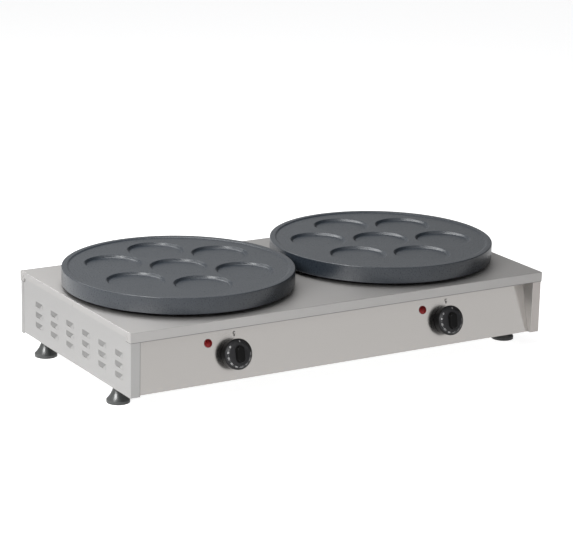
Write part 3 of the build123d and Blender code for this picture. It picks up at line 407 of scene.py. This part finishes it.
def well_surface(centre, land, ridge_height):
    """One well: the height falls from the land by a soft step over the wall's width, plus the
    turning tool's ridges, a sine of the radius that fades out at both ends of the wall."""
    radius = np.concatenate(
        [
            np.linspace(0, FLOOR_EDGE, FLOOR_ROWS),
            np.linspace(WALL_FOOT, WALL_TOP, WALL_ROWS),
            np.linspace(LAND_START, WELL_PATCH, LAND_ROWS),
        ]
    )
    outward = radius - WELL_RADIUS
    wall = (radius - (WELL_RADIUS - WELL_DEPTH)) / WELL_DEPTH
    ridges = ridge_height * np.sin(2 * np.pi * outward / RIDGE_PITCH)
    window = np.exp(-(((outward + RIDGE_MIDDLE) / RIDGE_REACH) ** 4))
    height = land - WELL_DEPTH * (1 - soft_step(wall, WALL_SOFTNESS)) + ridges * window
    height[:FLOOR_ROWS] = land - WELL_DEPTH
    height[-LAND_ROWS:] = land
    return lathe(np.stack([radius, height], -1), AROUND_WELL, centre)


def land_surface(centre, well_centres, land):
    """The flat land between the wells: a disc with seven round holes, cut into triangles. The
    triangles whose middle falls in a hole are left out."""
    rings = [(centre, LAND_EDGE, AROUND)] + [(c, WELL_PATCH, AROUND_WELL) for c in well_centres]
    flat, edges, count = [], [], 0
    for ring_centre, radius, segments in rings:
        angle = np.linspace(0, 2 * np.pi, segments, endpoint=False)
        flat.append(np.stack([np.cos(angle), np.sin(angle)], -1) * radius + np.asarray(ring_centre))
        index = np.arange(segments)
        edges.append(np.stack([index, (index + 1) % segments], -1) + count)
        count += segments
    flat = np.concatenate(flat)
    corners, _, triangles, *_ = delaunay_2d_cdt(
        flat.tolist(), np.concatenate(edges).tolist(), [], FILL_INSIDE, SAME_POINT
    )
    corners, triangles = np.array(corners), np.array(triangles)
    middle = corners[triangles].mean(1)
    gaps = np.linalg.norm(middle[:, None] - np.asarray(well_centres)[None], axis=2)
    triangles = triangles[gaps.min(1) > WELL_PATCH * IN_A_WELL]
    points = np.concatenate([corners, np.full((len(corners), 1), land)], 1)
    return points, triangles


def griddle_casting(side, turn, ridge_height):
    """The whole casting: seven wells and the land between them, the rim, skirt and web as one
    profile turned about the plate's axis, and four bosses turned about their studs' axes. The
    outer wells stand evenly on a ring, from the turn angle on."""
    low, high = (np.array(c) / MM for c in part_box(f"{side}_griddle_plate"))
    centre = (low[:2] + high[:2]) / 2
    foot, top = low[2], high[2]
    land = top - RIM_RISE
    web = top - PLATE_WEB
    angle = np.radians(turn + 360.0 / WELLS_ROUND * np.arange(WELLS_ROUND))
    ring = centre + WELL_RING * np.stack([np.cos(angle), np.sin(angle)], -1)
    well_centres = np.concatenate([centre[None], ring])
    inner = PLATE_RADIUS - RIM_WIDTH
    body = rounded(
        [
            (LAND_EDGE, land, 0),
            (inner - BEVEL_FOOT, land, LAND_CORNER),
            (inner + BEVEL_TOP, top, RIM_INNER_CORNER),
            (PLATE_RADIUS, top, RIM_OUTER_CORNER),
            (PLATE_RADIUS, foot, FOOT_OUTER_CORNER),
            (PLATE_RADIUS - SKIRT_WALL, foot, FOOT_INNER_CORNER),
            (PLATE_RADIUS - SKIRT_WALL, web, WEB_CORNER),
            (0, web, 0),
        ],
        RIM_STEPS,
    )
    boss = rounded(
        [
            (0, web + BOSS_ROOT, 0),
            (BOSS_RADIUS, web + BOSS_ROOT, 0),
            (BOSS_RADIUS, foot, BOSS_CORNER),
            (STUD_RADIUS, foot, 0),
            (STUD_RADIUS, foot + STUD_DEPTH, 0),
            (0, foot + STUD_DEPTH, 0),
        ]
    )
    patches = [well_surface(c, land, ridge_height) for c in well_centres]
    patches.append(land_surface(centre, well_centres, land))
    patches.append(lathe(body, AROUND, centre))
    for dx in (-STUD_X, STUD_X):
        for dy in (-STUD_Y, STUD_Y):
            patches.append(lathe(boss, AROUND_BOSS, centre + (dx, dy)))
    make_piece(
        f"{side}_griddle_casting",
        patches,
        finishes["cast_plate"],
        "casing",
        [f"{side}_griddle_plate"],
    )


griddle_casting("left", LEFT_TURN, LEFT_RIDGES)
griddle_casting("right", RIGHT_TURN, RIGHT_RIDGES)


# Knobs

SKIRT_RADIUS, DIAL_RADIUS, FACE_RADIUS = 24.25, 26.0, 18.0
SKIRT_BACK, SKIRT_WALL_BACK, DIAL_BACK, DIAL_EDGE, DIAL_FACE = 0.6, 2.2, 14.0, 16.5, 21.5
AROUND_KNOB, KNOB_STEPS = 128, 5
POCKET_CORNER, SKIRT_CORNER, DIAL_CORNER, FACE_CORNER = 0.8, 0.3, 0.5, 0.9
DIAL_STEP = 0.2
GRIP_LENGTH, GRIP_WIDTH, GRIP_FRONT = 30.0, 17.0, 29.0
GRIP_TIP_LENGTH, GRIP_TIP_WIDTH = 27.0, 12.0
GRIP_SIDE = [-0.6, 0.0, 1.5, 3.0, 4.5, 5.6]
GRIP_ROOF = [3.0, 1.5, 0.0]
GRIP_EDGE, GRIP_INSET, GRIP_CROWN = 1.5, 0.2, 0.35
GRIP_EDGE_START, GRIP_EDGE_STEPS = 0.25, 6
AROUND_GRIP = 96
PRINT_RADIUS = 21.4
DIAL_SHEET, SHEET_EDGE, SHEET_SINK = 0.25, 25.3, 0.1
SHEET_BEND, BEND_REACH, BEND_DROP = 0.2, 0.8, 0.12
PRINT_HEIGHT, LETTER_WEIGHT = 2.7, 0.012
FIRST_NUMBER, NUMBER_STEP, NUMBERS = 60, 30, 9
FIRST_MARK, MARK_STEP = 57.0, 27.2
TICK, POINTER, BAR_ROWS = (0.35, 0.8), (0.9, 3.2), 5
POINTER_TURN = 8.0
INDEX_RADIUS, INDEX_TURN = 30.6, 8.5
RING_OUTER, RING_INNER, RING_PLACE = 2.9, 1.5, (0.6, 4.2)
RING_OPENING, RING_STEPS = 80, 25
DOT_RADIUS, DOT_STEPS = 1.3, 32
INK = 0.05

joints = {joint["name"]: joint for joint in frame["joints"]}


def panel_place(side):
    """From a knob's own axes, X across, Y up the panel and Z out of it, to the part's."""
    joint = joints[f"{side}_knob_turn"]
    out = -Vector(joint["axis"])
    across = Vector((1, 0, 0))
    place = Matrix((across, out.cross(across), out)).transposed().to_4x4()
    place.translation = joint["pos_m"]
    return place


def dial_cone(radius):
    """How far out the dial's cone stands at a radius."""
    fall = (DIAL_FACE - DIAL_EDGE) / (DIAL_RADIUS - FACE_RADIUS)
    return DIAL_FACE - (radius - FACE_RADIUS) * fall


def grip_surface():
    """The grip bar: a stadium outline that narrows as it rises, a rounded edge, and a top that
    falls away from its long middle line by the square of the distance across."""
    angle = np.linspace(0, 2 * np.pi, AROUND_GRIP, endpoint=False)
    side, roof = np.array(GRIP_SIDE), np.array(GRIP_ROOF)
    share = np.clip(side / (GRIP_FRONT - DIAL_FACE), 0, 1)
    side_width = (GRIP_WIDTH + (GRIP_TIP_WIDTH - GRIP_WIDTH) * share) / 2
    side_length = (GRIP_LENGTH + (GRIP_TIP_LENGTH - GRIP_LENGTH) * share) / 2
    top_width, top_length = side_width[-1] - GRIP_INSET, side_length[-1] - GRIP_INSET
    turn = np.linspace(GRIP_EDGE_START, 1, GRIP_EDGE_STEPS) * np.pi / 2
    shrink = np.concatenate([GRIP_EDGE * (1 - np.cos(turn)), top_width - roof])
    top = top_width - shrink
    crown = GRIP_CROWN * (1 - (top / top_width) ** 2)
    lift = GRIP_EDGE * np.sin(np.append(turn, np.full(len(roof), np.pi / 2)))
    half_width = np.concatenate([side_width, top])
    half_length = np.concatenate([side_length, top_length - shrink])
    rise = np.concatenate([side, side[-1] + lift + crown])
    straight = np.where(np.sin(angle) >= 0, 1.0, -1.0)
    across = np.outer(half_width, np.cos(angle))
    along = np.outer(half_width, np.sin(angle)) + np.outer(half_length - half_width, straight)
    out = np.outer(DIAL_FACE + rise, np.ones(AROUND_GRIP))
    points = np.stack([across, along, out], -1)
    floor = points[:1] * (0, 0, 1)
    points = np.concatenate([floor, points])
    return points.reshape(-1, 3), grid_faces(len(points), AROUND_GRIP)


def knob_surface():
    """The skirt, hollow behind, and the dial's cone with its rim, as one profile turned about the
    knob's axis."""
    inside = SKIRT_RADIUS - SKIRT_WALL_BACK
    turned = rounded(
        [
            (0, DIAL_BACK, 0),
            (inside, DIAL_BACK, POCKET_CORNER),
            (inside, SKIRT_BACK, 0),
            (SKIRT_RADIUS, SKIRT_BACK, SKIRT_CORNER),
            (SKIRT_RADIUS, DIAL_BACK, SKIRT_CORNER),
            (DIAL_RADIUS, DIAL_BACK + DIAL_STEP, DIAL_CORNER),
            (DIAL_RADIUS, DIAL_EDGE, DIAL_CORNER),
            (FACE_RADIUS, DIAL_FACE, FACE_CORNER),
            (0, DIAL_FACE, 0),
        ],
        KNOB_STEPS,
    )
    return lathe(turned, AROUND_KNOB)


def dial_surface():
    """The thin dial sheet that lies on the cone and the face: a profile that follows both at the
    sheet's thickness, turned about the knob's axis, its back just inside them."""
    bend = FACE_RADIUS + SHEET_BEND
    turned = [
        (0, DIAL_FACE + DIAL_SHEET),
        (bend - BEND_REACH, DIAL_FACE + DIAL_SHEET),
        (bend, DIAL_FACE + DIAL_SHEET - BEND_DROP),
        (bend + BEND_REACH, dial_cone(bend + BEND_REACH) + DIAL_SHEET),
        (SHEET_EDGE, dial_cone(SHEET_EDGE) + DIAL_SHEET),
        (SHEET_EDGE, dial_cone(SHEET_EDGE) - SHEET_SINK),
        (bend, dial_cone(bend) - 2 * SHEET_SINK),
        (0, DIAL_FACE - SHEET_SINK),
    ]
    return lathe(turned, AROUND_KNOB)


def flat_text(words, height):
    """Points and faces of words as a flat sheet of ink, centred on the origin, in millimetres."""
    curve = bpy.data.curves.new("words", "FONT")
    curve.body = words
    curve.size = 1.0
    curve.offset = LETTER_WEIGHT
    curve.align_x = "CENTER"
    curve.align_y = "CENTER"
    holder = bpy.data.objects.new("words", curve)
    bpy.context.scene.collection.objects.link(holder)
    bpy.context.view_layer.update()
    depsgraph = bpy.context.evaluated_depsgraph_get()
    mesh = bpy.data.meshes.new_from_object(holder.evaluated_get(depsgraph))
    points = np.empty(len(mesh.vertices) * 3)
    mesh.vertices.foreach_get("co", points)
    faces = [tuple(face.vertices) for face in mesh.polygons]
    bpy.data.objects.remove(holder)
    bpy.data.meshes.remove(mesh)
    points = points.reshape(-1, 3)
    size = np.ptp(points[:, 1])
    return (points - (points.max(0) + points.min(0)) / 2) * height / size, faces


def on_dial(points, turn):
    """Lays ink on the dial's cone: across the words is an arc about the axis, up them is outward
    along the cone, and turn is the angle from the top, against the clock."""
    width = DIAL_RADIUS - FACE_RADIUS
    slope = math.hypot(width, DIAL_FACE - DIAL_EDGE) / width
    radius = PRINT_RADIUS + points[:, 1] / slope
    angle = math.radians(90 + turn) - points[:, 0] / PRINT_RADIUS
    out = dial_cone(radius) + DIAL_SHEET + INK
    return np.stack([radius * np.cos(angle), radius * np.sin(angle), out], -1)


def bar(width, height):
    """A plain rectangle of ink, split along its height so that it can bend."""
    rows = np.linspace(-height / 2, height / 2, BAR_ROWS)
    x, y = np.tile([-width / 2, width / 2], BAR_ROWS), np.repeat(rows, 2)
    return np.stack([x, y, np.zeros(2 * BAR_ROWS)], -1), grid_faces(BAR_ROWS, 2, wrap=False)


def ink_piece(name, patches, material, body, place):
    """Printed marks: flat sheets of ink that face out of the panel."""
    points, faces = join_patches(patches)
    mesh = bpy.data.meshes.new(name)
    mesh.from_pydata((points * MM).tolist(), [], faces)
    mesh.transform(place)
    dress(name, mesh, material, body)


def disc(radius, centre):
    """A round dot of ink: points evenly round a circle, as high above the panel as ink lies."""
    angle = np.linspace(0, 2 * np.pi, DOT_STEPS, endpoint=False)
    x, y = centre[0] + radius * np.cos(angle), centre[1] + radius * np.sin(angle)
    return np.stack([x, y, np.full(DOT_STEPS, INK)], -1), [list(range(DOT_STEPS))]


def open_ring(outer, inner, centre):
    """A ring of ink: points between two radii and two angles, open at its right, as high as the
    dot."""
    angle = np.radians(np.linspace(RING_OPENING / 2, 360 - RING_OPENING / 2, RING_STEPS))
    radius = np.array([inner, outer])
    x = centre[0] + np.outer(radius, np.cos(angle))
    y = centre[1] + np.outer(radius, np.sin(angle))
    points = np.stack([x, y, np.full((2, RING_STEPS), INK)], -1)
    return points.reshape(-1, 3), grid_faces(2, RING_STEPS, wrap=False)[:, ::-1]


def dial_marks():
    """The dial's numbers, the ticks half way between them, and the pointer line."""
    marks = []
    start = FIRST_MARK - POINTER_TURN
    for count in range(NUMBERS):
        words, faces = flat_text(str(FIRST_NUMBER + NUMBER_STEP * count), PRINT_HEIGHT)
        marks.append((on_dial(words, start + MARK_STEP * count), faces))
    for count in range(NUMBERS - 1):
        tick, faces = bar(*TICK)
        marks.append((on_dial(tick, start + MARK_STEP * (count + 0.5)), faces))
    pointer, faces = bar(*POINTER)
    marks.append((on_dial(pointer, -POINTER_TURN), faces))
    return marks


def index_marks():
    """The dot above the knob and the open ring over it, on the panel."""
    lean = math.radians(INDEX_TURN)
    foot = INDEX_RADIUS * np.array([math.sin(lean), math.cos(lean)])
    return [open_ring(RING_OUTER, RING_INNER, foot + RING_PLACE), disc(DOT_RADIUS, foot)]


def dress_knob(side):
    """The moulded knob with its dial print, and the index mark above it on the panel."""
    place = panel_place(side)
    body = f"{side}_knob_turned"
    for name, patch, finish, replaced in (
        ("moulded_knob", knob_surface(), finishes["black_knob"], [f"{side}_knob"]),
        ("dial_sheet", dial_surface(), dial_plastic, ()),
        ("knob_grip", grip_surface(), grip_plastic, ()),
    ):
        make_piece(f"{side}_{name}", [patch], finish, body, replaced, place)
    ink_piece(f"{side}_dial_print", dial_marks(), white_print, body, place)
    ink_piece(f"{side}_index_mark", index_marks(), grey_print, "casing", place)


for side in ("left", "right"):
    dress_knob(side)


# Stage, light and camera

FLOOR_HALF = 30.0
FLOOR_TONE, FLOOR_ROUGHNESS = (0.8, 0.8, 0.8), 0.9
FLOOR_LIFT_MIRRORED, FLOOR_LIFT_SEEN = 0.36, 0.85
LIGHT_TARGET = (0, 0, 0.1)
KEY_PLACE, KEY_SIZE, KEY_POWER = (-1.75, -0.75, 1.25), (0.9, 0.9), 34
OVERHEAD_PLACE, OVERHEAD_SIZE, OVERHEAD_POWER = (-0.45, 0.75, 1.75), (0.9, 2.2), 31
ROOM_COLOUR, ROOM_STRENGTH = (0.93, 0.95, 1, 1), 0.08
# Where the mirrored backdrop darkens: direction, start and end of the change as the dot product
# with it, and the brightness before and after.
ROOM_SHADES = (
    ((0.93, 0.05, 0.37), 0.58, 0.9, 0.8, 0.096),
    ((0.5, 0.84, 0.2), 0.1, 0.85, 1.0, 0.6),
    ((-0.52, -0.78, 0.35), 0.82, 0.94, 1.0, 0.08),
)
CAMERA_PLACE = (-2.021584, -3.334108, 1.234724)
CAMERA_YAW, CAMERA_PITCH, CAMERA_ROLL = 31.336, -15.762, 1.346
CAMERA_LENS, CAMERA_SENSOR, CAMERA_REACH = 144.50, 36.0, 200.0


def camera_rays(tree):
    """1 for the rays that come straight from the camera."""
    return tree.nodes.new("ShaderNodeLightPath").outputs["Is Camera Ray"]


def backdrop_rays(tree):
    """1 for the rays that see the backdrop: from the camera, off metal and through glass."""
    path = tree.nodes.new("ShaderNodeLightPath")
    total = path.outputs["Is Camera Ray"]
    for ray in ("Is Glossy Ray", "Is Transmission Ray"):
        total = combine(tree, "MAXIMUM", total, path.outputs[ray])
    return total


def white_floor():
    """A pale floor that keeps the shadow, lifted to white where the camera sees it and a little
    where metal mirrors it."""
    material = new_finish("white_floor", FLOOR_TONE, 0.0, FLOOR_ROUGHNESS)
    tree = material.node_tree
    glow = tree.nodes.new("ShaderNodeEmission")
    glow.inputs["Color"].default_value = WHITE
    lift = map_range(tree, camera_rays(tree), 0.0, 1.0, FLOOR_LIFT_MIRRORED, FLOOR_LIFT_SEEN)
    strength = combine(tree, "MULTIPLY", backdrop_rays(tree), lift)
    tree.links.new(strength, glow.inputs["Strength"])
    both = tree.nodes.new("ShaderNodeAddShader")
    tree.links.new(shader_of(material).outputs["BSDF"], both.inputs[0])
    tree.links.new(glow.outputs["Emission"], both.inputs[1])
    tree.links.new(both.outputs["Shader"], tree.nodes["Material Output"].inputs["Surface"])
    return material


def studio_world():
    """Faint room light, with a backdrop that is white to the camera and that polished faces
    mirror, darker in the directions of ROOM_SHADES."""
    world = bpy.data.worlds.new("studio")
    world.use_nodes = True
    tree = world.node_tree
    room = tree.nodes["Background"]
    room.inputs["Color"].default_value = ROOM_COLOUR
    room.inputs["Strength"].default_value = ROOM_STRENGTH
    backdrop = tree.nodes.new("ShaderNodeBackground")
    backdrop.inputs["Color"].default_value = WHITE
    place = tree.nodes.new("ShaderNodeTexCoord")
    shade = None
    for direction, start, end, before, after in ROOM_SHADES:
        towards = tree.nodes.new("ShaderNodeVectorMath")
        towards.operation = "DOT_PRODUCT"
        towards.inputs[1].default_value = direction
        tree.links.new(place.outputs["Generated"], towards.inputs[0])
        part = map_range(tree, towards.outputs["Value"], start, end, before, after, smooth=True)
        shade = part if shade is None else combine(tree, "MULTIPLY", shade, part)
    seen = tree.nodes.new("ShaderNodeMix")
    seen.inputs[SECOND_NUMBER_IN].default_value = 1.0
    tree.links.new(camera_rays(tree), seen.inputs[SHARE])
    tree.links.new(shade, seen.inputs[FIRST_NUMBER_IN])
    tree.links.new(seen.outputs[NUMBER_OUT], backdrop.inputs["Strength"])
    pick = tree.nodes.new("ShaderNodeMixShader")
    tree.links.new(backdrop_rays(tree), pick.inputs["Fac"])
    tree.links.new(room.outputs["Background"], pick.inputs[1])
    tree.links.new(backdrop.outputs["Background"], pick.inputs[2])
    tree.links.new(pick.outputs["Shader"], tree.nodes["World Output"].inputs["Surface"])
    return world


def softbox(name, place, size, power):
    """A rectangular studio light that faces the part."""
    light = bpy.data.lights.new(name, "AREA")
    light.shape = "RECTANGLE"
    light.size, light.size_y = size
    light.energy = power
    lamp = bpy.data.objects.new(name, light)
    bpy.context.scene.collection.objects.link(lamp)
    lamp.location = place
    aim = Vector(LIGHT_TARGET) - Vector(place)
    lamp.rotation_euler = aim.to_track_quat("-Z", "Y").to_euler()


floor_mesh = bpy.data.meshes.new("floor")
corners = [(x * FLOOR_HALF, y * FLOOR_HALF, 0) for x, y in ((-1, -1), (1, -1), (1, 1), (-1, 1))]
floor_mesh.from_pydata(corners, [], [(0, 1, 2, 3)])
floor_mesh.materials.append(white_floor())
floor = bpy.data.objects.new("floor", floor_mesh)
bpy.context.scene.collection.objects.link(floor)

softbox("key_softbox", KEY_PLACE, KEY_SIZE, KEY_POWER)
softbox("overhead_softbox", OVERHEAD_PLACE, OVERHEAD_SIZE, OVERHEAD_POWER)
bpy.context.scene.world = studio_world()

camera_data = bpy.data.cameras.new("camera")
camera_data.sensor_width = CAMERA_SENSOR
camera_data.sensor_fit = "HORIZONTAL"
camera_data.lens = CAMERA_LENS
camera_data.clip_end = CAMERA_REACH
camera = bpy.data.objects.new("camera", camera_data)
bpy.context.scene.collection.objects.link(camera)
camera.matrix_world = (
    Matrix.Translation(CAMERA_PLACE)
    @ Matrix.Rotation(math.radians(-CAMERA_YAW), 4, "Z")
    @ Matrix.Rotation(math.radians(90 + CAMERA_PITCH), 4, "X")
    @ Matrix.Rotation(math.radians(CAMERA_ROLL), 4, "Z")
)
bpy.context.scene.camera = camera
bpy.context.scene.view_settings.view_transform = "Standard"
